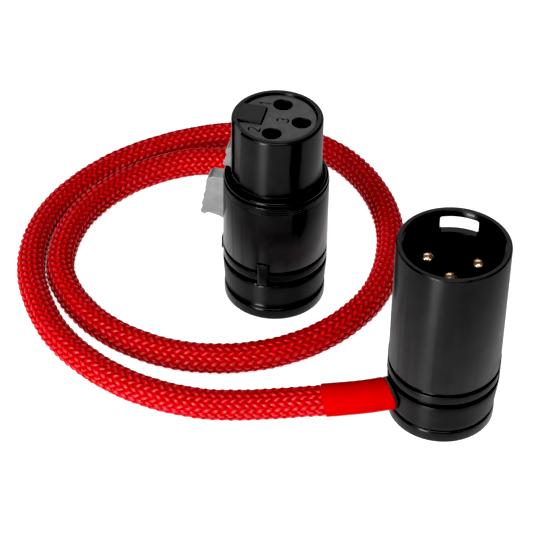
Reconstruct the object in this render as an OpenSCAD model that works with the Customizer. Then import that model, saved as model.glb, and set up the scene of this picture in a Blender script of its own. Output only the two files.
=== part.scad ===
// Short XLR patch cable: a socket plug and a pin plug, both with a side exit at the base,
// joined by a braided cable that lies in a loose spiral round the socket plug.
// Millimetres, +Z up. The origin is the centre of the socket plug's base, on the floor.
// Each plug is drawn in its own frame, with its latch side along +X, and then turned into place.

/* [Socket plug] */
// Height of the socket plug above the floor
female_height = 39; // [38:0.1:40]
// Radius of the front barrel, fixed by the XLR standard
barrel_r = 8; // [7.9:0.05:8.05]
// Radius of the rear housing
housing_r = 9.37; // [9.2:0.01:9.6]
// Height of the top of the rear housing's shoulder
housing_top = 27.5; // [27:0.1:28]
// Direction that the latch faces, in degrees from +X
female_turn = 167; // [0:1:359]
// Direction in which the cable leaves the socket plug
female_exit = 88; // [60:1:120]

/* [Pin plug] */
// Height of the pin plug above the floor
male_height = 36.7; // [36:0.1:38]
// Outer radius of the pin plug's shell
shell_r = 9.55; // [9.4:0.01:9.8]
// Bore radius of the shell, which takes the socket barrel
shell_bore_r = 8.2; // [8.1:0.05:8.3]
// Place of the pin plug's centre along X
male_x = 29; // [28:0.1:32]
// Place of the pin plug's centre along Y
male_y = -30.5; // [-33:0.1:-30]
// Direction that the latch window faces, in degrees from +X
male_turn = 80; // [0:1:359]
// Direction in which the cable leaves the pin plug
male_exit = 196; // [190:1:200]

/* [Contacts] */
// Distance of each contact from the plug's axis
contact_circle_r = 4.25; // [4.2:0.01:4.3]
// Radius of a pin
pin_r = 1.2; // [1.15:0.01:1.2]
// Bore radius of a socket contact
socket_r = 1.25; // [1.22:0.01:1.3]
// Height of the pin tips
pin_top = 33.7; // [33:0.1:34]

/* [Latch] */
// Width of the latch lever
latch_w = 2.8; // [2.4:0.1:3]
// Radius of the latch's pivot pin
pivot_r = 0.6; // [0.5:0.05:0.65]
// Distance of the pivot from the plug's axis
pivot_x = 7.6; // [7.5:0.05:7.7]
// Height of the pivot
pivot_z = 14.4; // [14.3:0.05:14.5]
// Number of serrations on the thumb pad
serrations = 3; // [2:1:3]

/* [Base] */
// Radius of the flange that the plugs stand on
flange_r = 9.15; // [9:0.05:9.2]
// Height of the flange
flange_h = 2.37; // [2.2:0.01:2.4]
// Height of the cable's centre at the exits
exit_z = 5.3; // [5.3:0.05:5.4]

/* [Cable] */
// Outer diameter of the braid
cable_d = 5.1; // [4.9:0.1:5.1]
// Outer diameter of the heat-shrink sleeves
sleeve_d = 5.8; // [5.5:0.1:5.8]

/* [Hidden] */

$fn = 72;

// Heights of the lower groove's foot, the ridge's foot and top, and the upper groove's top
female_levels = [8.3, 9.03, 10.7, 11.45];
male_levels = [8.3, 9.25, 10.8, 11.7];
groove_depth = 0.5;

// Socket plug
seat_z = 17.3;                 // shelf that the barrel and the insert stand on
shelf_r = 6.2;
insert_r = 6.75;
barrel_in_r = 6.85;
face_drop = 0.5;               // the insert's face below the rim
female_face = female_height - face_drop;
slot_w = latch_w + 0.4;
latch_slot_top = 32.2;
pad_slot_top = 25.05;          // the housing's slot ends below the lip
spring_w = 2;
pocket_x = 4.8;                // floor of the insert's pocket behind the latch
key_w = 4.6;
contact_top = 35.6;            // the contacts stand back behind the insert's face
key_in = 2.4;
key_gap = 0.15;
key_depth = 3;
keyway_turn = 38;              // the barrel's keyway, from the latch
keyway_w = 3.3;
keyway_x = 7.55;
keyway_low = 28;
lip_r = 8.76;                  // the housing's round lip
lip_z = 26.4;
wall_top = 25.8;               // top of the housing's wall, below the lip

// Pin plug
male_seat = 14;
male_face = 23.2;
window_w = 6.5;
window_low = 32.3;
window_high = 35.6;
rim_in_r = 8.62;               // inner edge of the shell's flat rim
pin_foot = 11;
pin_shoulder_r = 1.4;          // the pin's thicker part, inside the insert
collar_top = 23.6;             // top of the insert's collars round the pins

// Base
inner_r = 6.9;                 // inside of the housing's lower end
spigot_r = 6.85;
spigot_in_r = 6.2;
spigot_top = 11.9;
cavity_r = 7.4;
cavity_top = 8.3;
band_low = 2.6;
band_low_r = 9.05;
collar_r = sleeve_d / 2;
collar_face = 10;              // distance of the gland's outer face from the plug's axis
neck_r = 2.7;
core_r = 2;
core_end = 4;                  // how near the core comes to the plug's axis
screw_circle_r = 5.6;

female_exit_turn = female_exit - female_turn;
male_exit_turn = male_exit - male_turn;

// Lugs of the index rings: the angle from the latch, the height of the top, and how proud they stand
female_lugs = [[0, 10.7, 0.4], [90, 13, 0.1], [270, 13, 0.1]];
male_lugs = [[90, 13, 0.08], [270, 13, 0.08]];
lug_w = 2.1;
female_lug_turns = [for (l = female_lugs) l[0]];
male_lug_turns = [for (l = male_lugs) l[0]];

cable_r = cable_d / 2;
lie_z = cable_r;               // height of the cable's centre where it lies on the floor

// The cable's route, from the pin plug to the socket plug
route = [
    [male_x + collar_face * cos(male_exit), male_y + collar_face * sin(male_exit), exit_z],
    [15.6, -34.1, 5.25], [11.5, -34.5, 5], [7.6, -34.6, 4.6],
    [2.5, -34.5, 3.9], [-3.6, -34.3, 3.1], [-11, -33.8, lie_z], [-18, -32.3, lie_z],
    [-25, -29.3, lie_z], [-32, -24.2, lie_z], [-38.3, -17, lie_z], [-42.4, -8.3, lie_z],
    [-44.6, 0.7, lie_z], [-44.3, 9.8, lie_z], [-41.7, 18.2, lie_z], [-37, 25.7, lie_z],
    [-31, 32, lie_z], [-24, 36.7, lie_z], [-16.5, 40.1, lie_z], [-8.6, 42, lie_z],
    [-0.8, 42.1, lie_z], [6.2, 39.9, lie_z], [12.3, 35.5, lie_z], [17.1, 29, lie_z],
    [20.3, 21, lie_z], [21.6, 12.4, lie_z], [20.8, 3.3, lie_z], [18, -5, lie_z],
    [13.3, -11.7, lie_z], [7.4, -16.9, lie_z], [0.3, -20.5, lie_z], [-8, -22.2, lie_z],
    [-16.3, -21.7, lie_z], [-24, -18.9, lie_z], [-31, -14, lie_z], [-36.3, -7.2, lie_z],
    [-39.2, 0.3, lie_z], [-39.1, 8, lie_z], [-36.9, 15.7, lie_z], [-32.7, 22.6, lie_z],
    [-27.2, 28, lie_z], [-21.5, 31.4, lie_z], [-16, 33.3, lie_z], [-10.3, 33.4, lie_z],
    [-5, 31.3, lie_z], [-1.3, 27.3, 2.9], [0.5, 21.4, 4.1], [0.6, 17.6, 4.8],
    [0.5, 13.7, 5.2],
    [collar_face * cos(female_exit), collar_face * sin(female_exit), exit_z]
];
sleeve_points = 4;             // route points under each heat-shrink sleeve
last_point = len(route) - 1;
male_way = [cos(male_exit), sin(male_exit), 0];
female_way = [-cos(female_exit), -sin(female_exit), 0];

// ---- Functions ----

function unit(v) = v / norm(v);

// Points of an arc, from one angle to another
function arc(centre, r, from, to, steps) =
    [for (i = [0 : steps]) let (a = from + (to - from) * i / steps) centre + r * [cos(a), sin(a)]];

// Direction of a path at point i, with the two ends given
function way(path, i, first, last) =
    i == 0 ? first : i == len(path) - 1 ? last : unit(path[i + 1] - path[i - 1]);

// A ring of points round point p, square to direction w. The vector s picks where the ring starts.
function ring(p, w, r, sides, s) =
    let (a = unit(cross(w, s)), b = cross(a, w))
    [for (k = [0 : sides - 1]) let (t = 360 * k / sides + 90) p + r * (cos(t) * a + sin(t) * b)];

function rings(path, r, sides, s, first, last) =
    [for (i = [0 : len(path) - 1]) each ring(path[i], way(path, i, first, last), r, sides, s)];

// Two triangles for each flat of a tube's wall, starting at point number base
function wall_faces(count, sides, base, outward) =
    [for (i = [0 : count - 2], k = [0 : sides - 1])
        let (a = base + i * sides + k,
             b = base + i * sides + (k + 1) % sides,
             c = a + sides,
             d = b + sides)
        each outward ? [[a, c, b], [b, c, d]] : [[a, b, c], [b, d, c]]];

// A point of a cubic curve with four control points
function bezier(p, t) =
    pow(1 - t, 3) * p[0] + 3 * pow(1 - t, 2) * t * p[1] + 3 * (1 - t) * t * t * p[2] + pow(t, 3) * p[3];

// ---- Shared shapes ----

// A solid tube swept along a path
module rod(path, r, sides, s, first, last) {
    n = len(path);
    polyhedron(
        points = rings(path, r, sides, s, first, last),
        faces = concat(
            wall_faces(n, sides, 0, true),
            [[for (k = [0 : sides - 1]) k]],
            [[for (k = [0 : sides - 1]) n * sides - 1 - k]]
        )
    );
}

// A hollow sleeve swept along a path
module sleeve(path, r_out, r_in, sides, s, first, last) {
    n = len(path);
    inner = n * sides;
    end = (n - 1) * sides;
    polyhedron(
        points = concat(
            rings(path, r_out, sides, s, first, last),
            rings(path, r_in, sides, s, first, last)
        ),
        faces = concat(
            wall_faces(n, sides, 0, true),
            wall_faces(n, sides, inner, false),
            [for (k = [0 : sides - 1])
                let (j = (k + 1) % sides)
                each [[k, j, inner + k], [j, inner + j, inner + k]]],
            [for (k = [0 : sides - 1])
                let (j = (k + 1) % sides)
                each [[end + k, inner + end + k, end + j], [end + j, inner + end + k, inner + end + j]]]
        )
    );
}

module at_female() {
    rotate([0, 0, female_turn]) children();
}

module at_male() {
    translate([male_x, male_y, 0]) rotate([0, 0, male_turn]) children();
}

// A cylinder that lies along the exit direction, from one distance to another
module along_exit(turn, r, from, to) {
    rotate([0, 0, turn])
        translate([from, 0, exit_z])
            rotate([0, 90, 0])
                cylinder(r = r, h = to - from);
}

// A plain round tube
module tube(r_out, r_in, from, to) {
    translate([0, 0, from])
        difference() {
            cylinder(r = r_out, h = to - from);
            translate([0, 0, -1]) cylinder(r = r_in, h = to - from + 2);
        }
}

// A bar on the outside of a plug, out to radius r
module lug(r, w, from, to) {
    intersection() {
        translate([r - 1.5, -w / 2, from]) cube([2, w, to - from]);
        cylinder(r = r, h = to + 1);
    }
}

// The base's outside, a band that tapers down to the flange
module band(r_top, grow) {
    rotate_extrude()
        polygon([
            [0, flange_h], [band_low_r - 0.2 + grow, flange_h], [band_low_r - 0.2 + grow, band_low],
            [band_low_r + grow, band_low + 0.1], [r_top + grow, cavity_top - 0.9],
            [r_top + grow, cavity_top], [0, cavity_top]
        ]);
}

module base_shape(r_top, turn, lug_turns) {
    difference() {
        union() {
            band(r_top, 0);
            tube(spigot_r, spigot_in_r, cavity_top - 1, spigot_top);
        }
        translate([0, 0, flange_h - 1]) cylinder(r = spigot_in_r, h = 12);
        translate([0, 0, flange_h - 1]) cylinder(r = cavity_r, h = cavity_top - flange_h);
        along_exit(turn, neck_r + 0.02, 6, 11);
        for (a = lug_turns) rotate([0, 0, a]) lug(r_top + 1, lug_w + 0.1, 8.05, 9);
    }
    screw_posts(turn);
}

// Two posts inside the base, for the cap's screws
module screw_posts(turn) {
    for (side = [-1, 1])
        rotate([0, 0, turn + side * 110])
            difference() {
                intersection() {
                    translate([screw_circle_r - 1.4, -1.5, flange_h]) cube([4, 3, 4.4]);
                    translate([0, 0, flange_h]) cylinder(r = cavity_r + 0.2, h = 5);
                }
                translate([screw_circle_r, 0, 0]) cylinder(r = 0.82, h = 10);
            }
}

module cap_shape(turn) {
    difference() {
        rotate_extrude()
            polygon(concat(
                [[0, 0], [flange_r - 0.2, 0], [flange_r, 0.2]],
                arc([flange_r - 0.5, flange_h - 0.5], 0.5, 0, 90, 6),
                [[0, flange_h]]
            ));
        for (side = [-1, 1])
            rotate([0, 0, turn + side * 110])
                translate([screw_circle_r, 0, 0]) {
                    translate([0, 0, -1]) cylinder(r = 0.92, h = 5);
                    translate([0, 0, -1]) cylinder(r = 1.72, h = 2.02);
                }
    }
}

module cap_screws_shape(turn) {
    for (side = [-1, 1])
        rotate([0, 0, turn + side * 110])
            translate([screw_circle_r, 0, 0])
                difference() {
                    union() {
                        translate([0, 0, 0.2]) cylinder(r = 1.65, h = 0.8);
                        translate([0, 0, 0.9]) cylinder(r = 0.8, h = 5);
                    }
                    for (a = [0, 90])
                        rotate([0, 0, a]) translate([-1, -0.17, -0.1]) cube([2, 0.34, 0.75]);
                }
}

module gland_shape(r_top, turn) {
    difference() {
        union() {
            difference() {
                along_exit(turn, collar_r, 8.2, collar_face);
                band(r_top, 0.01);
            }
            along_exit(turn, neck_r, 7.7, collar_face - 0.5);
        }
        along_exit(turn, core_r + 0.02, 6, 12);
    }
}

module core_shape(turn) {
    along_exit(turn, core_r, core_end, collar_face);
}

module clamp_shape(turn) {
    difference() {
        along_exit(turn, core_r + 0.5, 4.9, 6.7);
        along_exit(turn, core_r + 0.02, 4, 8);
        for (x = [5.4, 6.1])
            difference() {
                along_exit(turn, core_r + 1, x, x + 0.25);
                along_exit(turn, core_r + 0.35, x - 1, x + 1);
            }
    }
}

// Three conductors, from the core's end up to the contacts' tails
module wires_shape(turn, top, tails) {
    exit_way = [cos(turn), sin(turn), 0];
    side_way = [-sin(turn), cos(turn), 0];
    for (i = [0 : 2]) {
        foot = exit_way * core_end + side_way * 1.1 * (i - 1) + [0, 0, exit_z];
        head = [tails[i][0], tails[i][1], top];
        control = [foot, foot - exit_way * 2.2, head - [0, 0, 5], head];
        path = [for (k = [0 : 8]) bezier(control, k / 8)];
        rod(path, 0.45, 8, side_way, -exit_way, [0, 0, 1]);
    }
}

module index_ring_shape(r_top, levels, lugs) {
    floor_r = r_top - groove_depth;
    difference() {
        union() {
            rotate_extrude()
                polygon(concat(
                    [[inner_r + 0.05, levels[0]], [floor_r, levels[0]]],
                    [[floor_r, levels[1]], [r_top - 0.15, levels[1]]],
                    arc([r_top - 0.15, levels[1] + 0.15], 0.15, -90, 0, 3),
                    arc([r_top - 0.15, levels[2] - 0.15], 0.15, 0, 90, 3),
                    [[floor_r, levels[2]], [floor_r, levels[3]], [inner_r + 0.05, levels[3]]]
                ));
            for (l = lugs) rotate([0, 0, l[0]]) lug(r_top + l[2], lug_w, 8.2, l[1]);
        }
        translate([0, 0, -1]) cylinder(r = inner_r + 0.05, h = 20);
        cylinder(r = floor_r + 0.15, h = levels[0]);
        translate([0, 0, levels[3]]) cylinder(r = floor_r + 0.01, h = 10);
    }
}

// Where the lugs reach up into the piece above the ring
module lug_slots(r_top, levels, lugs) {
    for (l = lugs)
        if (l[1] > levels[3])
            rotate([0, 0, l[0]]) lug(r_top + 0.5, lug_w + 0.1, levels[3] - 1, l[1] + 0.05);
}

module lock_screw_shape(z, from, to) {
    rotate([0, 0, -45])
        translate([from, 0, z])
            rotate([0, 90, 0])
                difference() {
                    cylinder(r = 1, h = to - from);
                    translate([0, 0, to - from - 0.7]) cylinder(r = 0.5, h = 1, $fn = 6);
                }
}

module lock_screw_hole(z) {
    rotate([0, 0, -45]) translate([5, 0, z]) rotate([0, 90, 0]) cylinder(r = 1.02, h = 6);
}

// ---- Digits beside the sockets, as strokes 2 high and about 1 wide ----

module stroke(points) {
    for (i = [0 : len(points) - 2]) {
        run = points[i + 1] - points[i];
        translate(points[i]) rotate(atan2(run[1], run[0])) translate([0, -0.14]) square([norm(run), 0.28]);
        translate(points[i + 1]) circle(r = 0.14, $fn = 16);
    }
}

module digit(n) {
    if (n == 1) stroke([[-0.35, 0.55], [0, 1], [0, -1]]);
    if (n == 2) stroke(concat(arc([0, 0.5], 0.5, 160, -30, 7), [[-0.5, -1], [0.5, -1]]));
    if (n == 3) stroke(concat(arc([0, 0.5], 0.5, 150, -70, 7), arc([0, -0.5], 0.5, 70, -150, 7)));
}

// ---- Socket plug ----

// Where contact n stands, in the plug's frame
function socket_at(n) = contact_circle_r * (n == 1 ? [0, -1] : n == 2 ? [0, 1] : [-1, 0]);
function pin_at(n) = contact_circle_r * (n == 1 ? [0, 1] : n == 2 ? [0, -1] : [-1, 0]);

module female_barrel() {
    color("#161616") at_female() {
        difference() {
            rotate_extrude()
                polygon(concat(
                    [[barrel_in_r, seat_z], [barrel_r, seat_z]],
                    arc([barrel_r - 0.5, female_height - 0.5], 0.5, 0, 90, 6),
                    arc([barrel_in_r + 0.25, female_height - 0.25], 0.25, 90, 180, 5)
                ));
            translate([5, -slot_w / 2, seat_z - 1])
                cube([5, slot_w, latch_slot_top - seat_z + 1]);
            rotate([0, 0, keyway_turn])
                translate([keyway_x, -keyway_w / 2, keyway_low])
                    cube([2, keyway_w, female_height]);
            lock_screw_hole(20.5);
        }
        intersection() {
            translate([key_in, -key_w / 2, female_height - key_depth])
                cube([barrel_r, key_w, key_depth]);
            cylinder(r = barrel_in_r + 0.1, h = 50);
        }
    }
}

module female_housing() {
    color("#141414") at_female()
        difference() {
            rotate_extrude()
                polygon(concat(
                    [[inner_r, female_levels[3]], [housing_r, female_levels[3]]],
                    [for (z = [24.5, 24.95, 25.4])
                        each [[housing_r, z - 0.07], [housing_r - 0.09, z], [housing_r, z + 0.07]]],
                    arc([housing_r - 0.2, wall_top - 0.2], 0.2, 0, 90, 4),
                    [[lip_r + 0.15, wall_top]],
                    arc([lip_r, lip_z], 0.5, -50, 200, 14),
                    [[barrel_r + 0.15, lip_z - 0.17], [barrel_r + 0.15, housing_top]],
                    [[barrel_r + 0.03, housing_top], [barrel_r + 0.03, seat_z], [shelf_r, seat_z]],
                    [[shelf_r, seat_z - 1.2], [inner_r, seat_z - 1.9]]
                ));
            translate([5.5, -slot_w / 2, 12.9]) cube([6, slot_w, pad_slot_top - 12.9]);
            translate([5.5, -slot_w / 2, lip_z + 0.1]) cube([2.7, slot_w, 3]);
            translate([pivot_x, 3.8, pivot_z]) rotate([90, 0, 0]) cylinder(r = pivot_r + 0.02, h = 10);
            lock_screw_hole(20.5);
            lug_slots(housing_r, female_levels, female_lugs);
        }
}

module female_insert() {
    color("#3a3a3a") at_female()
        difference() {
            translate([0, 0, seat_z]) cylinder(r = insert_r, h = female_face - seat_z);
            for (n = [1 : 3])
                translate(socket_at(n)) translate([0, 0, seat_z - 1]) cylinder(r = 1.72, h = 25);
            translate([key_in - key_gap, -key_w / 2 - key_gap, female_height - key_depth - key_gap])
                cube([barrel_r, key_w + 2 * key_gap, 5]);
            translate([pocket_x, -slot_w / 2 - 0.2, seat_z - 1]) cube([5, slot_w + 0.4, 16]);
            rotate([0, 0, -45])
                translate([6, 0, 20.5]) rotate([0, 90, 0]) cylinder(r = 1.02, h = 5);
            translate([0, 0, female_face - 0.4])
                linear_extrude(1) {
                    translate([3.1, -3.9]) rotate(-90) digit(1);
                    translate([3.2, 3.9]) rotate(-90) digit(2);
                    translate([-1, 0.2]) rotate(-90) digit(3);
                }
        }
}

// A tubular contact with a closed foot and a cup to solder the conductor in
module socket_contact(n) {
    color("#b08d4a") at_female()
        translate(socket_at(n))
            rotate_extrude()
                polygon([
                    [0, 15.6], [0.7, 15.6], [0.7, 14], [1, 14], [1, seat_z + 0.2], [1.68, seat_z + 0.2],
                    [1.68, contact_top], [socket_r + 0.2, contact_top], [socket_r, contact_top - 0.25],
                    [socket_r, 25], [0, 24.5]
                ]);
}

module female_contact_1() { socket_contact(1); }
module female_contact_2() { socket_contact(2); }
module female_contact_3() { socket_contact(3); }

// The lever's outline from the side: the hook, the thumb pad with its serrations, and the eye
pad_top = 24.5;
notch_top = 21.1;              // height of the highest serration
notch_gap = 1.8;
pad_slope = 0.18;              // how fast the pad grows outwards on its way down
lever_outline = concat(
    [[7.2, 31.4], [7.6, 31.8], [8.2, 31.7], [8.6, 31.4], [8.85, 30.95], [8.88, 30.4], [8.7, 29.75]],
    [[8.85, 29.2], [9.38, 27.85], [9.25, 27.65], [8.2, 27.6], [7.9, 27.2]],
    [[7.9, pad_top], [11.1, pad_top]],
    arc([11.1, 23.1], 1.4, 75, 15, 5),
    [for (i = [0 : serrations - 1])
        let (z = notch_top - i * notch_gap, x = 12.42 + i * notch_gap * pad_slope)
        each [[x + 0.05, z + 1.2], [x + 0.2, z + 0.95], [x + 0.22, z + 0.6], [x, z]]],
    arc([12.93, 16.45], 0.58, 30, -130, 8),
    [[12.15, 16.3], [11.2, 16.15], [10.1, 15.88], [9.3, 15.5]],
    arc([pivot_x, pivot_z], 1.3, -10, -180, 10),
    [[6.5, 15.8], [6.9, 17], [6.95, 25]]
);

module latch_lever() {
    color("#b8b8b8") at_female()
        translate([0, latch_w / 2, 0])
            rotate([90, 0, 0])
                linear_extrude(latch_w)
                    difference() {
                        polygon(lever_outline);
                        translate([pivot_x, pivot_z]) circle(r = pivot_r + 0.04);
                    }
}

module latch_pivot_pin() {
    color("#9a9a9a") at_female()
        translate([pivot_x, 3.7, pivot_z]) rotate([90, 0, 0]) cylinder(r = pivot_r, h = 8.7);
}

// A bent leaf that stands in the insert's pocket and leans on the lever
module latch_spring() {
    color("#9a9a9a") at_female()
        translate([0, spring_w / 2, 0])
            rotate([90, 0, 0])
                linear_extrude(spring_w)
                    polygon([
                        [pocket_x, seat_z + 0.2], [pocket_x + 0.22, seat_z + 0.2], [pocket_x + 0.22, 20],
                        [6.72, 25.4], [6.72, 25.8], [6.35, 26.6], [6.15, 26.5], [6.48, 25.6],
                        [pocket_x, 20.1]
                    ]);
}

module female_index_ring() {
    color("#141414") at_female() index_ring_shape(housing_r, female_levels, female_lugs);
}

module female_base() {
    color("#171717") at_female() base_shape(housing_r, female_exit_turn, female_lug_turns);
}

module female_base_cap() {
    color("#121212") at_female() cap_shape(female_exit_turn);
}

module female_cap_screws() {
    color("#8a8a8a") at_female() cap_screws_shape(female_exit_turn);
}

module female_lock_screw() {
    color("#202020") at_female() lock_screw_shape(20.5, 6.1, 9.1);
}

module female_cable_gland() {
    color("#242424") at_female() gland_shape(housing_r, female_exit_turn);
}

module female_cable_core() {
    color("#1d1d1d") at_female() core_shape(female_exit_turn);
}

module female_cable_clamp() {
    color("#9c9c9c") at_female() clamp_shape(female_exit_turn);
}

module female_wires() {
    color("#b03030") at_female()
        wires_shape(female_exit_turn, 14, [socket_at(3), socket_at(1), socket_at(2)]);
}

module female_heat_shrink() {
    color("#e00808")
        sleeve(
            [for (i = [last_point - sleeve_points + 1 : last_point]) route[i]],
            collar_r, cable_r + 0.05, 24, [0, 0, 1],
            unit(route[last_point - sleeve_points + 2] - route[last_point - sleeve_points]), female_way
        );
}

// ---- Pin plug ----

module male_shell() {
    color("#151515") at_male()
        difference() {
            rotate_extrude()
                polygon([
                    [inner_r, male_levels[3]], [shell_r, male_levels[3]],
                    [shell_r, male_height - 0.2], [shell_r - 0.2, male_height],
                    [rim_in_r, male_height], [shell_bore_r, male_height - 0.9],
                    [shell_bore_r, male_seat], [inner_r, male_seat]
                ]);
            translate([5, 0, (window_low + window_high) / 2])
                rotate([90, 0, 90])
                    linear_extrude(8)
                        rounded_window();
            rotate([0, 0, -45]) translate([7, 0, 18.5]) rotate([0, 90, 0]) cylinder(r = 1.02, h = 6);
            lug_slots(shell_r, male_levels, male_lugs);
        }
}

// The latch window's outline, a rectangle with round corners
module rounded_window() {
    corner_r = 0.4;
    w = window_w / 2 - corner_r;
    h = (window_high - window_low) / 2 - corner_r;
    polygon(concat(
        arc([w, h], corner_r, 0, 90, 6),
        arc([-w, h], corner_r, 90, 180, 6),
        arc([-w, -h], corner_r, 180, 270, 6),
        arc([w, -h], corner_r, 270, 360, 6)
    ));
}

module male_insert() {
    color("#1a1a1a") at_male()
        difference() {
            union() {
                translate([0, 0, male_seat]) cylinder(r = shell_bore_r - 0.03, h = male_face - male_seat);
                for (n = [1 : 3])
                    translate(pin_at(n)) translate([0, 0, 20]) cylinder(r = 1.9, h = collar_top - 20);
            }
            for (n = [1 : 3])
                translate(pin_at(n))
                    translate([0, 0, male_seat - 1]) cylinder(r = pin_shoulder_r + 0.02, h = 12);
            rotate([0, 0, -45]) translate([6.9, 0, 18.5]) rotate([0, 90, 0]) cylinder(r = 1.02, h = 5);
        }
}

// A pin with a domed tip, a shoulder inside the insert and a cup to solder the conductor in
module pin(n) {
    dome = 0.9;
    color("#c9a96a") at_male()
        translate(pin_at(n))
            rotate_extrude()
                polygon(concat(
                    [[0, 12.6], [0.7, 12.6], [0.7, pin_foot], [1, pin_foot], [1, male_seat + 0.2]],
                    [[pin_shoulder_r, male_seat + 0.2], [pin_shoulder_r, collar_top]],
                    [[pin_r, collar_top], [pin_r, pin_top - dome]],
                    [for (a = [10 : 10 : 80]) [pin_r * cos(a), pin_top - dome + dome * sin(a)]],
                    [[0, pin_top]]
                ));
}

module male_pin_1() { pin(1); }
module male_pin_2() { pin(2); }
module male_pin_3() { pin(3); }

module male_index_ring() {
    color("#141414") at_male() index_ring_shape(shell_r, male_levels, male_lugs);
}

module male_base() {
    color("#171717") at_male() base_shape(shell_r, male_exit_turn, male_lug_turns);
}

module male_base_cap() {
    color("#121212") at_male() cap_shape(male_exit_turn);
}

module male_cap_screws() {
    color("#8a8a8a") at_male() cap_screws_shape(male_exit_turn);
}

module male_lock_screw() {
    color("#202020") at_male() lock_screw_shape(18.5, 7, 9.3);
}

module male_cable_gland() {
    color("#242424") at_male() gland_shape(shell_r, male_exit_turn);
}

module male_cable_core() {
    color("#1d1d1d") at_male() core_shape(male_exit_turn);
}

module male_cable_clamp() {
    color("#9c9c9c") at_male() clamp_shape(male_exit_turn);
}

module male_wires() {
    color("#b03030") at_male()
        wires_shape(male_exit_turn, pin_foot, [pin_at(1), pin_at(2), pin_at(3)]);
}

module male_heat_shrink() {
    color("#e00808")
        sleeve(
            [for (i = [0 : sleeve_points - 1]) route[i]],
            collar_r, cable_r + 0.05, 24, [0, 0, 1],
            male_way, unit(route[sleeve_points] - route[sleeve_points - 2])
        );
}

// ---- Cable ----

module braided_cable() {
    color("#c4001e") rod(route, cable_r, 10, [0, 0, 1], male_way, female_way);
}

female_barrel();
female_housing();
female_insert();
female_contact_1();
female_contact_2();
female_contact_3();
latch_lever();
latch_pivot_pin();
latch_spring();
female_index_ring();
female_base();
female_base_cap();
female_cap_screws();
female_lock_screw();
female_cable_gland();
female_cable_core();
female_cable_clamp();
female_wires();
female_heat_shrink();
male_shell();
male_insert();
male_pin_1();
male_pin_2();
male_pin_3();
male_index_ring();
male_base();
male_base_cap();
male_cap_screws();
male_lock_screw();
male_cable_gland();
male_cable_core();
male_cable_clamp();
male_wires();
male_heat_shrink();
braided_cable();
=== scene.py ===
import math

import bpy
import numpy as np
from mathutils import Matrix, Vector


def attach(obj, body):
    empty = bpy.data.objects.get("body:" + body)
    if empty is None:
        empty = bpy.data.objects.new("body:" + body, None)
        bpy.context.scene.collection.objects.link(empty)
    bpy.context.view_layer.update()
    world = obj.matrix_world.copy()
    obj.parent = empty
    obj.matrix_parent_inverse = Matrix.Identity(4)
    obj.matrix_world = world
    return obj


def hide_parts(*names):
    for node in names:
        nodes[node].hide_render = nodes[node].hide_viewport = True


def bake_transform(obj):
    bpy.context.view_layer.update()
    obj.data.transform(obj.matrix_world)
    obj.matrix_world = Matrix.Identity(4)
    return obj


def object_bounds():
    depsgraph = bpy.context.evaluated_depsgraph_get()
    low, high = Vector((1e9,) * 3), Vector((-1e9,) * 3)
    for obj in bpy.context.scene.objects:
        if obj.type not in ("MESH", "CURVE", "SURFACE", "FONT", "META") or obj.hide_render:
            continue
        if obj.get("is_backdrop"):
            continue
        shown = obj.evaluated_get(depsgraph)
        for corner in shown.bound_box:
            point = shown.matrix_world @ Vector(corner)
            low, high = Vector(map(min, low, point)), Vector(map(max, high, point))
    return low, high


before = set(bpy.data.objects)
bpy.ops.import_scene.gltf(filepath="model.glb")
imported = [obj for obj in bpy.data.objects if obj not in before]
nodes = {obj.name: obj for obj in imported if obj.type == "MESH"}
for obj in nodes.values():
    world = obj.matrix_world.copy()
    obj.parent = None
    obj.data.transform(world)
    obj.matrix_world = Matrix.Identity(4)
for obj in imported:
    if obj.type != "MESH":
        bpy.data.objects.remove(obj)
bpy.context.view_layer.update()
MM = 0.001
MICRON = 0.000001


# ---- Camera ----

LOOK_DOWN = 40.803      # degrees below the horizon
CAMERA_ROLL = 0.888     # degrees
CAMERA_PLACE = (-1.497, -306.681, 269.534)      # millimetres


def make_camera():
    """A long lens that looks along +Y and down, with a slight roll."""
    data = bpy.data.cameras.new("camera")
    data.lens = 150.05
    data.sensor_width = 36
    data.clip_start = 0.01
    data.clip_end = 20
    camera = bpy.data.objects.new("camera", data)
    bpy.context.scene.collection.objects.link(camera)
    down = math.radians(LOOK_DOWN)
    roll = math.radians(CAMERA_ROLL)
    across = Vector((1, 0, 0))
    up = Vector((0, math.sin(down), math.cos(down)))
    forward = Vector((0, math.cos(down), -math.sin(down)))
    right = math.cos(roll) * across + math.sin(roll) * up
    above = math.cos(roll) * up - math.sin(roll) * across
    place = Matrix((right, above, -forward)).transposed().to_4x4()
    place.translation = Vector(CAMERA_PLACE) * MM
    camera.matrix_world = place
    bpy.context.scene.camera = camera


make_camera()


# ---- Node materials ----

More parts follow.
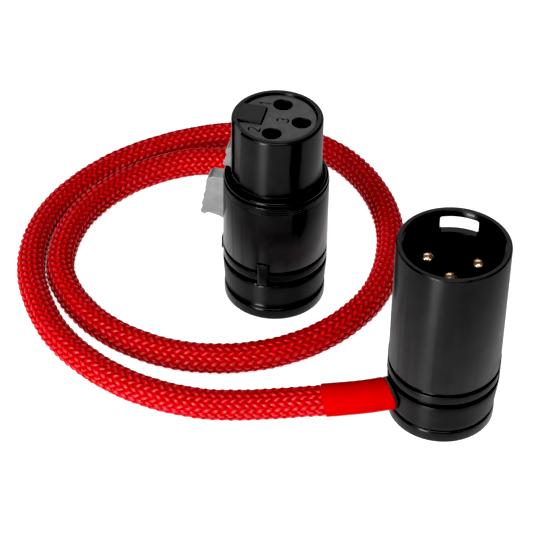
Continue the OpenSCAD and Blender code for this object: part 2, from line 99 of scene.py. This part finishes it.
class Look:
    """A Principled material, with short calls for the nodes that drive it. Noise scales are per metre."""

    def __init__(self, name, **inputs):
        self.material = bpy.data.materials.new(name)
        self.material.use_nodes = True
        self.tree = self.material.node_tree
        self.shader = self.tree.nodes["Principled BSDF"]
        self.place = self.tree.nodes.new("ShaderNodeTexCoord").outputs["Object"]
        for key, value in inputs.items():
            self.shader.inputs[key.replace("_", " ")].default_value = value

    def put(self, kind, **settings):
        node = self.tree.nodes.new("ShaderNode" + kind)
        for key, value in settings.items():
            setattr(node, key, value)
        return node

    def wire(self, source, target):
        self.tree.links.new(source, target)

    def stretch(self, source, scale):
        node = self.put("Mapping")
        node.inputs["Scale"].default_value = scale
        self.wire(source, node.inputs["Vector"])
        return node.outputs["Vector"]

    def attribute(self, name):
        return self.put("Attribute", attribute_name=name).outputs["Fac"]

    def noise(self, scale, detail=3.0, rough=0.5, source=None):
        node = self.put("TexNoise")
        node.inputs["Scale"].default_value = scale
        node.inputs["Detail"].default_value = detail
        node.inputs["Roughness"].default_value = rough
        self.wire(source or self.place, node.inputs["Vector"])
        return node.outputs["Fac"]

    def rings(self, period):
        """Fine lines round a vertical axis, as a lathe leaves them. The period is in metres."""
        node = self.put("TexWave", wave_type="BANDS", bands_direction="Z", wave_profile="SIN")
        node.inputs["Scale"].default_value = math.pi / (10 * period)
        node.inputs["Distortion"].default_value = 0.6
        node.inputs["Detail"].default_value = 1.0
        self.wire(self.place, node.inputs["Vector"])
        return node.outputs["Fac"]

    def ramp(self, source, stops):
        node = self.put("ValToRGB")
        points = node.color_ramp.elements
        while len(points) < len(stops):
            points.new(0.5)
        for point, (where, colour) in zip(points, stops):
            point.position = where
            point.color = (*colour, 1)
        self.wire(source, node.inputs["Fac"])
        return node.outputs["Color"]

    def spread(self, source, low, high):
        node = self.put("MapRange")
        node.inputs["To Min"].default_value = low
        node.inputs["To Max"].default_value = high
        self.wire(source, node.inputs["Value"])
        return node.outputs["Result"]

    def scaled(self, source, share):
        node = self.put("Math", operation="MULTIPLY")
        self.wire(source, node.inputs[0])
        node.inputs[1].default_value = share
        return node.outputs["Value"]

    def total(self, a, b):
        node = self.put("Math", operation="ADD")
        self.wire(a, node.inputs[0])
        self.wire(b, node.inputs[1])
        return node.outputs["Value"]

    def product(self, a, b):
        """One colour times another."""
        node = self.put("Mix", data_type="RGBA", blend_type="MULTIPLY")
        node.inputs["Factor"].default_value = 1.0
        self.wire(a, node.inputs["A"])
        self.wire(b, node.inputs["B"])
        return node.outputs["Result"]

    def colour(self, source, stops):
        self.wire(self.ramp(source, stops), self.shader.inputs["Base Color"])

    def rough(self, source, low, high):
        self.wire(self.spread(source, low, high), self.shader.inputs["Roughness"])

    def turned(self, strength):
        """Stretches highlights up and down a turned surface, whose tool marks run round a vertical axis."""
        self.shader.inputs["Anisotropic"].default_value = strength
        upright = self.put("CombineXYZ")
        upright.inputs["Z"].default_value = 1.0
        self.wire(upright.outputs["Vector"], self.shader.inputs["Tangent"])

    def bump(self, *layers):
        """Each layer is (height, depth in metres). Returns the bumped normal."""
        normal = None
        for height, depth in layers:
            node = self.put("Bump")
            node.inputs["Strength"].default_value = 1.0
            node.inputs["Distance"].default_value = depth
            self.wire(height, node.inputs["Height"])
            if normal:
                self.wire(normal, node.inputs["Normal"])
            normal = node.outputs["Normal"]
        self.wire(normal, self.shader.inputs["Normal"])
        return normal


def grey(value):
    return (value, value, value)


def lacquer(name, gloss, streak, low, high, lines=None, line_depth=0.0):
    """Glossy black lacquer over turned metal: a faint orange peel, dust and hairline wear."""
    look = Look(name, Specular_IOR_Level=gloss, Coat_Weight=gloss, Coat_Roughness=0.12)
    look.colour(look.noise(260, 5), [(0.35, (0.0016, 0.0016, 0.0017)), (0.75, (0.0040, 0.0040, 0.0042))])
    look.rough(look.noise(900, 6, 0.65), low, high)
    look.turned(streak)
    layers = [(look.noise(1500, 2), 3.5 * MICRON)]
    if lines:
        layers.append((look.rings(lines), line_depth))
    look.bump(*layers)
    return look.material


def moulding(name, dark, light, face=None):
    """Matte moulded plastic with a fine grain. Below its face, holes and cut digits get painted shade."""
    look = Look(name, Specular_IOR_Level=0.2)
    body = look.ramp(look.noise(700, 5), [(0.3, dark), (0.7, light)])
    if face:
        # painted shade: the colour darkens towards black below the face, in the holes and cut digits
        split = look.put("SeparateXYZ")
        look.wire(look.place, split.inputs["Vector"])
        depth = look.put("MapRange")
        depth.inputs["From Min"].default_value = face - 280 * MICRON
        depth.inputs["From Max"].default_value = face - 40 * MICRON
        look.wire(split.outputs["Z"], depth.inputs["Value"])
        painted_recess_shade = look.ramp(depth.outputs["Result"], [(0.0, grey(0.04)), (1.0, grey(1))])
        body = look.product(body, painted_recess_shade)
    look.wire(body, look.shader.inputs["Base Color"])
    look.rough(look.noise(2600, 4), 0.44, 0.66)
    look.bump((look.noise(5200, 3), 12 * MICRON), (look.noise(800, 2), 12 * MICRON))
    return look.material


def metal(name, dark, light, low, high, grain=4 * MICRON, scale=3000.0):
    look = Look(name, Metallic=1.0)
    look.colour(look.noise(500, 5), [(0.3, dark), (0.7, light)])
    look.rough(look.noise(1200, 5, 0.6), low, high)
    look.bump((look.noise(scale, 4), grain))
    return look.material


def rubber(name):
    look = Look(name, Specular_IOR_Level=0.2)
    look.colour(look.noise(600, 4), [(0.3, grey(0.005)), (0.7, grey(0.011))])
    look.rough(look.noise(2000, 3), 0.5, 0.75)
    look.bump((look.noise(3500, 3), 10 * MICRON))
    return look.material


def red_sleeve_look(name):
    """Shrunk tubing: even red, with a soft sheen and a fine grain."""
    look = Look(name, Specular_IOR_Level=0.016)
    look.colour(look.noise(180, 4), [(0.3, (0.33, 0.0003, 0.0003)), (0.75, (0.38, 0.0008, 0.0008))])
    look.rough(look.noise(1400, 4), 0.44, 0.58)
    look.bump((look.noise(900, 3), 10 * MICRON), (look.noise(4200, 2), 4 * MICRON))
    return look.material


def wire_look(name):
    look = Look(name, Specular_IOR_Level=0.4)
    look.colour(look.noise(400, 3), [(0.3, (0.35, 0.02, 0.02)), (0.7, (0.5, 0.04, 0.03))])
    look.rough(look.noise(1500, 3), 0.35, 0.5)
    look.bump((look.noise(3000, 2), 6 * MICRON))
    return look.material


def braid_look(name):
    """Fine red filaments: streaks along each yarn, a tone for each strand, painted shade in the gaps, shiny
    crests.
    """
    look = Look(name, Specular_IOR_Level=0.0, Coat_Roughness=0.30)
    yarn = look.put("UVMap", uv_map="yarn").outputs["UV"]
    fine = look.noise(1.0, 3, 0.6, look.stretch(yarn, (26, 1.6, 1)))
    coarse = look.noise(1.0, 2, 0.5, look.stretch(yarn, (9, 0.5, 1)))
    tone = look.total(look.scaled(fine, 0.55), look.scaled(look.attribute("strand"), 0.45))
    body = look.ramp(tone, [
        (0.2, (0.312, 0.0005, 0.002)),
        (0.5, (0.350, 0.001, 0.005)),
        (0.8, (0.386, 0.004, 0.012)),
    ])
    height = look.attribute("height")
    # painted shade: the colour darkens where the height is low, in the gaps between strands
    gap = look.ramp(height, [(0.15, (0.34, 0.03, 0.04)), (0.60, grey(1))])
    crest = look.ramp(height, [(0.60, grey(0)), (0.95, grey(1))])
    look.wire(look.product(body, gap), look.shader.inputs["Base Color"])
    look.wire(look.spread(crest, 0.0, 0.72), look.shader.inputs["Coat Weight"])
    look.rough(fine, 0.55, 0.75)
    bumped = look.bump((coarse, 20 * MICRON), (fine, 18 * MICRON))
    look.wire(bumped, look.shader.inputs["Coat Normal"])
    return look.material


# ---- The cable's route, from the pin plug to the socket plug, in millimetres ----

LIE = 2.55              # height of the centre of the cable where it lies on the floor
PIN_PLUG = (29.0, -30.5)
SOCKET_PLUG = (0.0, 0.0)
EXIT = 10.0             # from a plug's axis to where the cable leaves its gland
EXIT_HEIGHT = 5.3


def off_axis(centre, angle):
    turn = math.radians(angle)
    return [centre[0] + EXIT * math.cos(turn), centre[1] + EXIT * math.sin(turn), EXIT_HEIGHT]


route = [
    off_axis(PIN_PLUG, 196), [15.6, -34.1, 5.25], [11.5, -34.5, 5], [7.6, -34.6, 4.6],
    [2.5, -34.5, 3.9], [-3.6, -34.3, 3.1], [-11, -33.8, LIE], [-18, -32.3, LIE],
    [-25, -29.3, LIE], [-32, -24.2, LIE], [-38.3, -17, LIE], [-42.4, -8.3, LIE],
    [-44.6, 0.7, LIE], [-44.3, 9.8, LIE], [-41.7, 18.2, LIE], [-37, 25.7, LIE],
    [-31, 32, LIE], [-24, 36.7, LIE], [-16.5, 40.1, LIE], [-8.6, 42, LIE],
    [-0.8, 42.1, LIE], [6.2, 39.9, LIE], [12.3, 35.5, LIE], [17.1, 29, LIE],
    [20.3, 21, LIE], [21.6, 12.4, LIE], [20.8, 3.3, LIE], [18, -5, LIE],
    [13.3, -11.7, LIE], [7.4, -16.9, LIE], [0.3, -20.5, LIE], [-8, -22.2, LIE],
    [-16.3, -21.7, LIE], [-24, -18.9, LIE], [-31, -14, LIE], [-36.3, -7.2, LIE],
    [-39.2, 0.3, LIE], [-39.1, 8, LIE], [-36.9, 15.7, LIE], [-32.7, 22.6, LIE],
    [-27.2, 28, LIE], [-21.5, 31.4, LIE], [-16, 33.3, LIE], [-10.3, 33.4, LIE],
    [-5, 31.3, LIE], [-1.3, 27.3, 2.9], [0.5, 21.4, 4.1], [0.6, 17.6, 4.8],
    [0.5, 13.7, 5.2], off_axis(SOCKET_PLUG, 88),
]
ROUTE_STEPS = 12        # pieces of the smooth line between two points of the route
SLEEVE_POINTS = 4       # points of the route that lie in each sleeve


def smooth_line(points, steps):
    """A centripetal curve through the points."""
    p = np.array(points, float)
    p = np.vstack([2 * p[0] - p[1], p, 2 * p[-1] - p[-2]])
    found = []
    for i in range(1, len(p) - 2):
        q = p[i - 1:i + 3]
        t = np.concatenate([[0], np.cumsum(np.sqrt(np.linalg.norm(np.diff(q, axis=0), axis=1)))])
        for u in np.linspace(t[1], t[2], steps, endpoint=False):
            a = [((t[k + 1] - u) * q[k] + (u - t[k]) * q[k + 1]) / (t[k + 1] - t[k]) for k in range(3)]
            b = [((t[k + 2] - u) * a[k] + (u - t[k]) * a[k + 1]) / (t[k + 2] - t[k]) for k in range(2)]
            found.append(((t[2] - u) * b[0] + (u - t[1]) * b[1]) / (t[2] - t[1]))
    found.append(p[-2])
    return np.array(found)


class Line:
    """A centreline with its length, and a frame at any distance along it. Millimetres."""

    NEAR = 0.6          # the direction is taken over this length before and after a place

    def __init__(self, points):
        self.points = points
        gaps = np.linalg.norm(np.diff(points, axis=0), axis=1)
        self.at = np.concatenate([[0], np.cumsum(gaps)])
        self.length = float(self.at[-1])

    def place(self, s):
        return np.stack([np.interp(s, self.at, self.points[:, k]) for k in range(3)], -1)

    def frames(self, s):
        """Centre, sideways and upward directions."""
        before = self.place(np.maximum(s - self.NEAR, 0))
        after = self.place(np.minimum(s + self.NEAR, self.length))
        ahead = after - before
        ahead /= np.linalg.norm(ahead, axis=-1, keepdims=True)
        side = np.cross(ahead, [0.0, 0.0, 1.0])
        side /= np.linalg.norm(side, axis=-1, keepdims=True)
        return self.place(s), side, np.cross(side, ahead)


def new_mesh(name, verts, faces, smooth=True):
    """A mesh object from vertices in millimetres."""
    mesh = bpy.data.meshes.new(name)
    mesh.from_pydata(np.asarray(verts) * MM, [], faces)
    mesh.polygons.foreach_set("use_smooth", [smooth] * len(mesh.polygons))
    piece = bpy.data.objects.new(name, mesh)
    bpy.context.scene.collection.objects.link(piece)
    return piece


# ---- Braid ----
# Strands of one direction are counted by i, those of the other by j. Each strand has WIDE lattice lines
# across it, so a lattice line n belongs to strand n // WIDE.

STRANDS = 16            # strands in each direction
PITCH = 24.2            # length in which a strand goes once round
RADIUS = 2.74           # over the crests
SWELL = 0.32            # how far a strand rises and dips as it goes over and under
YARN = 0.28             # how far a strand's crown stands above its edges
GAP_DEPTH = 0.02        # how much deeper the gaps are made
FLOOR_GAP = 0.01        # the underside is pressed flat at this height
ACROSS = np.array([-0.5, -0.3, 0.0, 0.3])    # lattice lines across a strand, from one edge
CROWN = np.array([0.0, 0.74, 1.0, 0.74])     # height of the strand's crown at those lines
WIDE = len(ACROSS)


def strand_place(n):
    """Where lattice line n lies, counted in strands."""
    return n // WIDE + ACROSS[n % WIDE]


def weave_height(i, j):
    """Two over, two under: the higher of the two strands that cross at a lattice point."""
    one = np.cos(np.pi / 2 * (strand_place(j) + i // WIDE - 0.5)) * SWELL + CROWN[i % WIDE] * YARN
    other = np.cos(np.pi / 2 * (strand_place(i) + j // WIDE - 2.5)) * SWELL + CROWN[j % WIDE] * YARN
    return np.maximum(one, other)


def looseness(s, turn):
    """A slight unevenness of the yarns, along and round the cable."""
    return 0.018 * np.sin(s * 0.9 + 3 * np.sin(turn)) + 0.012 * np.sin(s * 2.3 + turn * 2)


def braid_points(line, i, j, rise, pitch):
    one = strand_place(i)
    other = strand_place(j)
    s = np.clip((one - other) / (2 * STRANDS) * pitch, 0, line.length)
    turn = 2 * np.pi * (one + other) / (2 * STRANDS)
    out_of_gap = rise > 0.05
    radius = RADIUS - SWELL - YARN - GAP_DEPTH + rise + looseness(s, turn) * out_of_gap
    radius = np.minimum(radius, RADIUS)
    centre, side, up = line.frames(s)
    verts = centre + radius[..., None] * (np.cos(turn)[..., None] * side + np.sin(turn)[..., None] * up)
    verts[..., 2] = np.maximum(verts[..., 2], FLOOR_GAP)
    return verts


def braid_faces(rows, around):
    """Lozenges between three rows, a row of triangles at each end, and a cap on each end."""
    index = np.arange(rows * around).reshape(rows, around)
    after = np.roll(index, -1, axis=1)
    lozenges = np.stack([index[1:-1], after[2:], after[1:-1], index[:-2]], -1).reshape(-1, 4)
    first = np.stack([index[0], after[1], after[0]], -1)
    last = np.stack([index[-1], after[-1], index[-2]], -1)
    caps = [index[0].tolist(), index[-1][::-1].tolist()]
    return lozenges.tolist() + first.tolist() + last.tolist() + caps


def mark_strands(mesh, i, j):
    """Gives each lozenge its strand's tone, and its corners their place on that strand."""
    on_one = ((i // WIDE + j // WIDE) % 4) < 2
    corner_i = np.stack([strand_place(n) for n in (i, i + 1, i + 1, i)], -1)
    corner_j = np.stack([strand_place(n) for n in (j, j, j + 1, j + 1)], -1)
    across = np.where(on_one[:, None], corner_i - (i // WIDE)[:, None], corner_j - (j // WIDE)[:, None])
    lengthways = np.where(on_one[:, None], corner_j, corner_i)
    strand = np.where(on_one, i // WIDE % STRANDS, STRANDS + j // WIDE % STRANDS)
    uv = np.zeros((len(mesh.loops), 2), np.float32)
    uv[:across.size, 0] = (across + strand[:, None] * 3).ravel()
    uv[:across.size, 1] = lengthways.ravel()
    mesh.uv_layers.new(name="yarn").data.foreach_set("uv", uv.ravel())
    tones = np.random.default_rng(7).random(2 * STRANDS)
    tone = np.zeros(len(mesh.polygons), np.float32)
    tone[:len(strand)] = tones[strand]
    mesh.attributes.new("strand", "FLOAT", "FACE").data.foreach_set("value", tone)


def mark_height(mesh, rise):
    """0 in the deepest gap, 1 on the highest crest."""
    height = ((rise - rise.min()) / (rise.max() - rise.min())).astype(np.float32)
    mesh.attributes.new("height", "FLOAT", "POINT").data.foreach_set("value", height.ravel())


def braid(name, line):
    """A closed tube whose surface is the strands themselves, woven two over, two under."""
    around = STRANDS * WIDE
    crossings = int(line.length / PITCH * 2 * STRANDS)
    rows = crossings * WIDE
    pitch = line.length / (crossings / (2 * STRANDS))
    row = np.arange(rows + 1)[:, None]
    i = np.arange(around)[None, :] + 0 * row
    j = i - row
    rise = weave_height(i, j)
    verts = braid_points(line, i, j, rise, pitch)
    piece = new_mesh(name, verts.reshape(-1, 3), braid_faces(rows + 1, around))
    mark_strands(piece.data, i[1:-1].ravel(), j[1:-1].ravel())
    mark_height(piece.data, rise)
    return piece


# ---- Shrunk sleeves ----

SLEEVE_IN = 2.6
SLEEVE_OUT = 2.9
SLEEVE_SIDES = 96
SLEEVE_RINGS = 60
SEEN_SIDE = 0.86        # radians round the tube, from sideways towards up
SKEW_REACH = 3          # a skewed end dies out over this length
COLLAR_SWELL = 0.045    # where the sleeve laps over the gland's collar


def sleeve_profile(reach):
    """Distances from the gland, and radii: a blunt end, the straight body, and a rolled-in free end."""
    body = np.linspace(0.1, reach - 0.34, SLEEVE_RINGS)
    blunt_end = [(0, SLEEVE_IN), (0, SLEEVE_OUT - 0.05)]
    rolled_end = [
        (reach - 0.2, SLEEVE_OUT - 0.015), (reach - 0.08, SLEEVE_OUT - 0.07),
        (reach, SLEEVE_OUT - 0.17), (reach, SLEEVE_IN),
    ]
    return np.array(blunt_end + [(s, SLEEVE_OUT) for s in body] + rolled_end)


def braid_below(where, turn):
    """The relief of the braid under the tubing, and its slow waves."""
    lattice = np.cos(8 * turn + where * 2.08) * np.cos(8 * turn - where * 2.08)
    waves = np.sin(turn * 2 + 0.7) * np.sin(where * 0.8)
    return 0.010 * lattice + 0.012 * waves - 0.014


def end_shift(s, turn, reach, slant, lap):
    """How far each point moves along the cable: a wavy cut, a slanted free end, a skewed gland end."""
    seen_side = np.cos(turn - SEEN_SIDE)
    wavy_cut = 0.07 * np.sin(turn * 3 + 1) * (s > reach - 0.3)
    free_end = slant * seen_side * np.clip((s - reach + SKEW_REACH) / SKEW_REACH, 0, 1)
    gland_end = lap * (seen_side - 0.4) * np.clip((SKEW_REACH - s) / SKEW_REACH, 0, 1)
    return wavy_cut + free_end + gland_end


def sleeve(name, line, start, end, slant, lap):
    """Tubing between two distances along the line, with its free end away from the plug."""
    gland_first = start < line.length / 2
    reach = end - start
    s, r = sleeve_profile(reach).T[..., None]
    turn = 2 * np.pi * np.arange(SLEEVE_SIDES)[None] / SLEEVE_SIDES
    where = start + s if gland_first else end - s
    radius = r + braid_below(where, turn) * (r > SLEEVE_OUT - 0.06)
    if lap > 0:
        radius = radius + COLLAR_SWELL * np.clip((1.2 - s) / 0.5, 0, 1)
    shift = end_shift(s, turn, reach, slant, lap)
    shifted = where + (shift if gland_first else -shift)
    within = np.clip(shifted, 0, line.length)
    centre, side, up = line.frames(within)
    centre = centre + (shifted - within)[..., None] * np.cross(up, side)
    verts = centre + radius[..., None] * (np.cos(turn)[..., None] * side + np.sin(turn)[..., None] * up)
    index = np.arange(radius.size).reshape(radius.shape)
    beside = np.roll(index, -1, axis=1)
    ahead = np.roll(index, -1, axis=0)
    both = np.roll(beside, -1, axis=0)
    faces = np.stack([index, beside, both, ahead], -1).reshape(-1, 4)
    if gland_first:
        faces = faces[:, ::-1]
    return new_mesh(name, verts.reshape(-1, 3), faces.tolist())


# ---- The cable and its sleeves ----

line = Line(smooth_line(route, ROUTE_STEPS))
sleeve_steps = ROUTE_STEPS * (SLEEVE_POINTS - 1)
pin_sleeve_end = float(line.at[sleeve_steps])
socket_sleeve_start = float(line.at[-1 - sleeve_steps])
PIN_SLEEVE_SHORT = 0.95     # the pin plug's sleeve ends this much before its CAD solid

cable = braid("braided_sheath", line)
cable.data.materials.append(braid_look("red_braid_yarn"))
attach(cable, "root")
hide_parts("braided_cable")

sleeve_look = red_sleeve_look("red_shrink_tube")
sleeves = []
for plug, low, high, slant, lap in (
    ("male", 0.0, pin_sleeve_end - PIN_SLEEVE_SHORT, 0.26, 0.75),
    ("female", socket_sleeve_start, line.length, 0.0, 0.0),
):
    piece = sleeve(plug + "_shrink_tube", line, low, high, slant, lap)
    piece.data.materials.append(sleeve_look)
    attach(piece, "root")
    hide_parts(plug + "_heat_shrink")
    sleeves.append(piece)

# the lacquer and the latch reflect the pale studio, not the red cord
for piece in [cable, *sleeves]:
    piece.visible_glossy = False


# ---- The CAD nodes' finishes ----

INSERT_FACE = 0.0385        # height of the socket insert's face, in metres

shell_black = lacquer("black_lacquer", 0.115, 0.95, 0.34, 0.46)
housing_black = lacquer("black_lacquer_housing", 0.07, 0.6, 0.20, 0.30)
band_black = lacquer(
    "black_lacquer_turned", 0.09, 0.95, 0.34, 0.46, lines=280 * MICRON, line_depth=12 * MICRON)
cap_black = lacquer("black_lacquer_cap", 0.10, 0.9, 0.22, 0.32)
# the insert's holes and cut digits get painted shade below its face
grey_plastic = moulding(
    "grey_insert_moulding", (0.045, 0.045, 0.046), (0.066, 0.066, 0.068), face=INSERT_FACE)
black_plastic = moulding("black_insert_moulding", grey(0.006), grey(0.011))
gold = metal("gold_plate", (0.50, 0.30, 0.19), (0.66, 0.43, 0.30), 0.16, 0.30)
cast = metal(
    "satin_cast_metal", (0.19, 0.195, 0.195), (0.27, 0.275, 0.275), 0.36, 0.54, 20 * MICRON, 2600)
steel = metal("bright_steel", (0.42, 0.42, 0.43), grey(0.60), 0.22, 0.38)
black_steel = metal("black_steel", grey(0.03), grey(0.07), 0.28, 0.44)
soft_black = rubber("black_rubber")
jacket = wire_look("wire_jackets")

finishes = {
    shell_black: ["female_barrel", "male_shell", "male_index_ring"],
    housing_black: ["female_housing", "female_index_ring"],
    band_black: ["female_base", "male_base"],
    cap_black: ["female_base_cap", "male_base_cap"],
    grey_plastic: ["female_insert"],
    black_plastic: ["male_insert"],
    gold: [name for name in nodes if name.startswith(("female_contact_", "male_pin_"))],
    cast: ["latch_lever"],
    steel: [
        "latch_pivot_pin", "female_cap_screws", "male_cap_screws",
        "female_cable_clamp", "male_cable_clamp",
    ],
    black_steel: ["female_lock_screw", "male_lock_screw"],
    soft_black: ["female_cable_gland", "male_cable_gland", "female_cable_core", "male_cable_core"],
    jacket: ["female_wires", "male_wires"],
}
for finish, names in finishes.items():
    for name in names:
        nodes[name].data.materials.clear()
        nodes[name].data.materials.append(finish)


def soften(name, width):
    """Breaks the sharp edges of a CAD node by a width in millimetres, so that they catch the light."""
    weld = nodes[name].modifiers.new("weld", "WELD")
    weld.merge_threshold = 2 * MICRON
    bevel = nodes[name].modifiers.new("bevel", "BEVEL")
    bevel.width = width * MM
    bevel.segments = 2
    bevel.limit_method = "ANGLE"
    bevel.angle_limit = math.radians(35)
    bevel.harden_normals = True


softened = {
    0.14: ["latch_lever"],
    0.11: ["female_barrel"],
    0.08: ["male_shell"],
    0.06: ["female_housing", "female_cable_gland", "male_cable_gland"],
    0.05: [
        "female_insert", "female_base_cap", "male_base_cap", "female_index_ring", "male_index_ring",
        "female_base", "male_base",
    ],
}
for width, names in softened.items():
    for name in names:
        soften(name, width)


# ---- The spring behind the latch ----

LATCH_SIDE = math.radians(167)
# distance from the socket plug's axis, and height
LEAF = [
    (4.93, 17.5), (4.93, 18.7), (4.97, 19.8), (5.32, 21.1), (5.98, 23.2),
    (6.46, 24.9), (6.57, 25.5), (6.45, 26.1), (6.25, 26.5),
]
LEAF_WIDTH = 1.9
LEAF_THICK = 0.2


def leaf_spring():
    """A thin bent strip, from its foot in the insert up to its tip by the lever."""
    out = np.array([math.cos(LATCH_SIDE), math.sin(LATCH_SIDE), 0])
    across = np.array([-out[1], out[0], 0])
    path = smooth_line([(r * out[0], r * out[1], z) for r, z in LEAF], 4)
    ahead = np.gradient(path, axis=0)
    ahead /= np.linalg.norm(ahead, axis=1, keepdims=True)
    face = np.cross(ahead, across)
    x, y = LEAF_WIDTH / 2, LEAF_THICK / 2
    corners = [(-x, -y), (x, -y), (x, y), (-x, y)]
    verts = np.stack([path + a * across + b * face for a, b in corners], 1)
    index = np.arange(len(path) * 4).reshape(-1, 4)
    beside = np.roll(index, -1, axis=1)
    faces = np.stack([index[:-1], beside[:-1], beside[1:], index[1:]], -1).reshape(-1, 4).tolist()
    faces += [index[0][::-1].tolist(), index[-1].tolist()]
    piece = new_mesh("leaf_spring", verts.reshape(-1, 3), faces, smooth=False)
    piece.data.materials.append(steel)
    edges = piece.modifiers.new("bevel", "BEVEL")
    edges.width = 0.04 * MM
    edges.segments = 2
    edges.limit_method = "ANGLE"
    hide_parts("latch_spring")
    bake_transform(piece)


leaf_spring()


# ---- Studio ----

def make_floor():
    """A white table that glows a little, so that it stays white up to the object."""
    half = 3.0 / MM
    corners = [(-half, -half, 0), (half, -half, 0), (half, half, 0), (-half, half, 0)]
    floor = new_mesh("floor", corners, [(0, 1, 2, 3)], smooth=False)
    look = Look("white_table", Roughness=0.9, Specular_IOR_Level=0.0, Emission_Strength=0.86)
    look.shader.inputs["Emission Color"].default_value = (1, 1, 1, 1)
    look.colour(look.noise(3, 2), [(0.3, grey(0.48)), (0.7, grey(0.50))])
    floor.data.materials.append(look.material)
    floor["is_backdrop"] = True


def make_world():
    """A dim white sky."""
    world = bpy.data.worlds.new("studio")
    bpy.context.scene.world = world
    world.use_nodes = True
    world.node_tree.nodes["Background"].inputs["Color"].default_value = (1, 1, 1, 1)
    world.node_tree.nodes["Background"].inputs["Strength"].default_value = 0.10


def seen_from_object(azimuth, height, distance):
    """A place in a direction from the object, in degrees from +X and above the floor, and metres."""
    a = math.radians(azimuth)
    h = math.radians(height)
    return distance * Vector((math.cos(a) * math.cos(h), math.sin(a) * math.cos(h), math.sin(h)))


def softbox(name, azimuth, height, distance, size, power):
    """A rectangle of light that faces the middle of the object."""
    data = bpy.data.lights.new(name, "AREA")
    data.shape = "RECTANGLE"
    data.size, data.size_y = size
    data.energy = power
    light = bpy.data.objects.new(name, data)
    bpy.context.scene.collection.objects.link(light)
    place = seen_from_object(azimuth, height, distance)
    middle = Vector((0, 0, 0.01))
    light.location = place
    light.rotation_euler = (middle - place).to_track_quat("-Z", "Y").to_euler()


def set_view():
    """Plain colours, with the darkest tones taken down to black."""
    view = bpy.context.scene.view_settings
    view.view_transform = "Standard"
    view.use_curve_mapping = True
    view.curve_mapping.black_level = grey(0.014)


make_floor()
make_world()
softbox("key", 220, 50, 0.86, (0.28, 0.28), 1.8)
softbox("strip", 239, 12, 0.8, (0.22, 0.3), 10.5)
softbox("fill", 320, 40, 0.8, (0.3, 0.3), 0.8)
softbox("overhead", 268, 66, 0.9, (0.5, 0.4), 4.2)
softbox("back", 90, 41, 0.8, (0.5, 0.3), 1.2)
set_view()

low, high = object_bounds()
